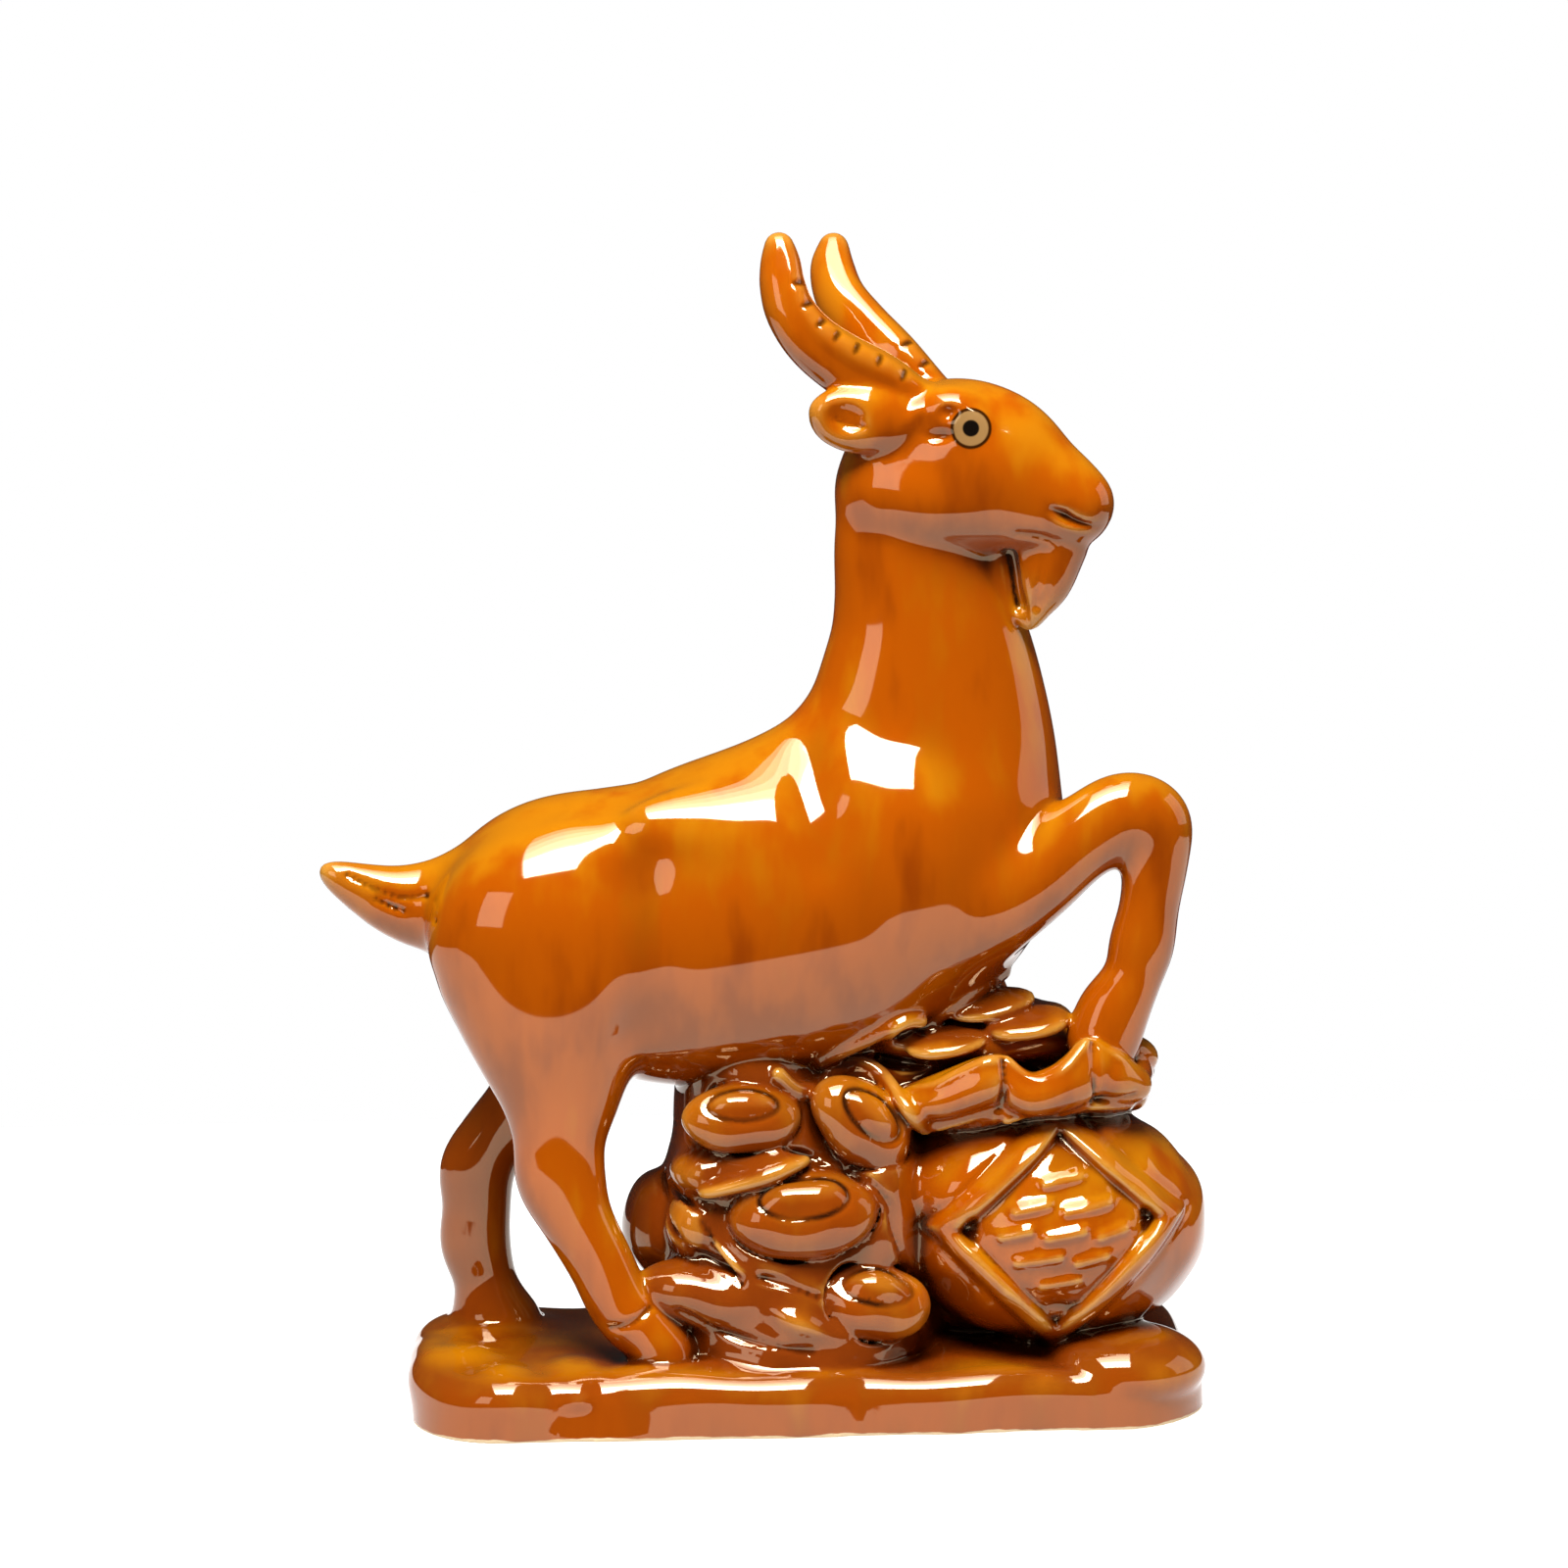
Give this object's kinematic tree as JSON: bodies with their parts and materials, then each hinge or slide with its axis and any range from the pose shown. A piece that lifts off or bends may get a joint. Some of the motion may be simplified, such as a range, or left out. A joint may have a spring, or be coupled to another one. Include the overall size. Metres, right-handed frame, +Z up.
{
  "type": "sancai sheep figure",
  "caption": "Glazed ceramic goat standing with one foreleg raised on a ruffled money bag beside a rock with boat-shaped ingots, on a rounded oblong base.",
  "frame": {"origin": "centre of the figure's bounding box on the plane of the underside it stands on", "axes": "+Z up from the underside to the horns, +X along the base in the direction the goat faces, -Y out of the modelled front with the bag's diamond"},
  "size_m": [0.2227, 0.0889, 0.2979],
  "materials": {
    "amber_glaze": null
  },
  "bodies": {
    "root": {"sheep_figure": "amber_glaze"}
  },
  "joints": []
}
